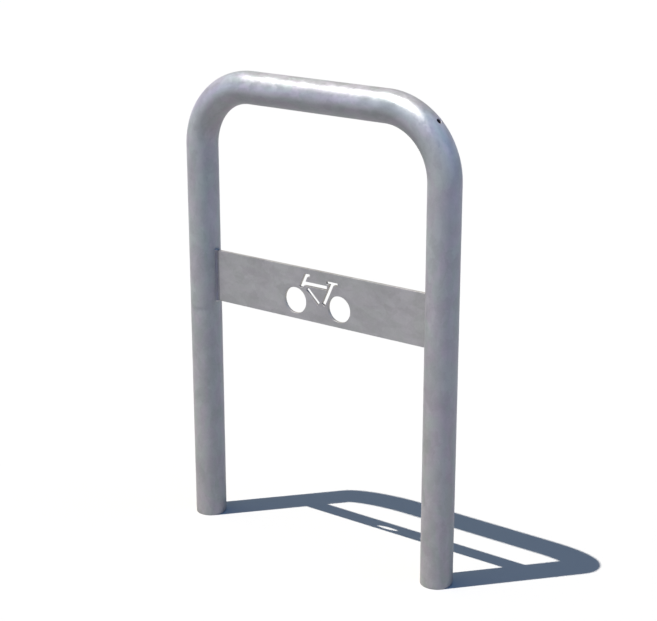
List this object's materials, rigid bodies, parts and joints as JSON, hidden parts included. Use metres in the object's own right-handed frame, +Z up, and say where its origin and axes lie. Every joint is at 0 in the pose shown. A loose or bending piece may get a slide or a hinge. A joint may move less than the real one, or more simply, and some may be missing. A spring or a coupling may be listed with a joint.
{
  "type": "hoop bike stand",
  "caption": "Galvanised steel tube hoop with a flat cross bar and a cut-out bicycle, for leaning and locking a bicycle outdoors.",
  "frame": {"origin": "on the ground, midway between the two legs", "axes": "+X along the hoop's width, from the left leg to the right leg; +Z up; the front, from which the bicycle reads with its handlebar on the left, faces -Y"},
  "size_m": [0.6, 0.0604, 0.9],
  "materials": {
    "tube_zinc": "hot-dip galvanised, satin, faintly mottled",
    "bar_zinc": "hot-dip galvanised, dull satin, faintly mottled",
    "weld_zinc": "hot-dip galvanised over weld bead, darker and duller"
  },
  "bodies": {
    "root": {"hoop_tube": "tube_zinc", "cross_bar": "bar_zinc", "weld_left_front": "weld_zinc", "weld_left_back": "weld_zinc", "weld_right_front": "weld_zinc", "weld_right_back": "weld_zinc"}
  },
  "joints": []
}
